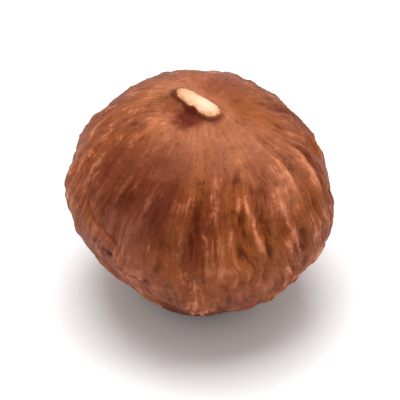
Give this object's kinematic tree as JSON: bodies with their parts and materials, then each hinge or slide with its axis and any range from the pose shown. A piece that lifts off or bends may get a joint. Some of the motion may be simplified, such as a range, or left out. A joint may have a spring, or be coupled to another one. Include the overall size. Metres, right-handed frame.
{
  "type": "hazelnut kernel",
  "caption": "Whole shelled hazelnut kernel in its brown skin, standing on its blunt base with the ridged tip up.",
  "frame": {"origin": "centre of the kernel's outline, in the plane of the small flat it rests on", "axes": "+Z from the blunt base to the tip, X across the kernel's broad way, Y across its narrow way; the ridge on the tip runs 43 degrees from +X towards -Y"},
  "size_m": [0.0148, 0.0138, 0.0144],
  "materials": {
    "kernel_skin": "thin papery brown seed skin with lengthwise wrinkles, soft satin, worn through to cream flesh along the tip"
  },
  "bodies": {
    "root": {"kernel": "kernel_skin"}
  },
  "joints": []
}
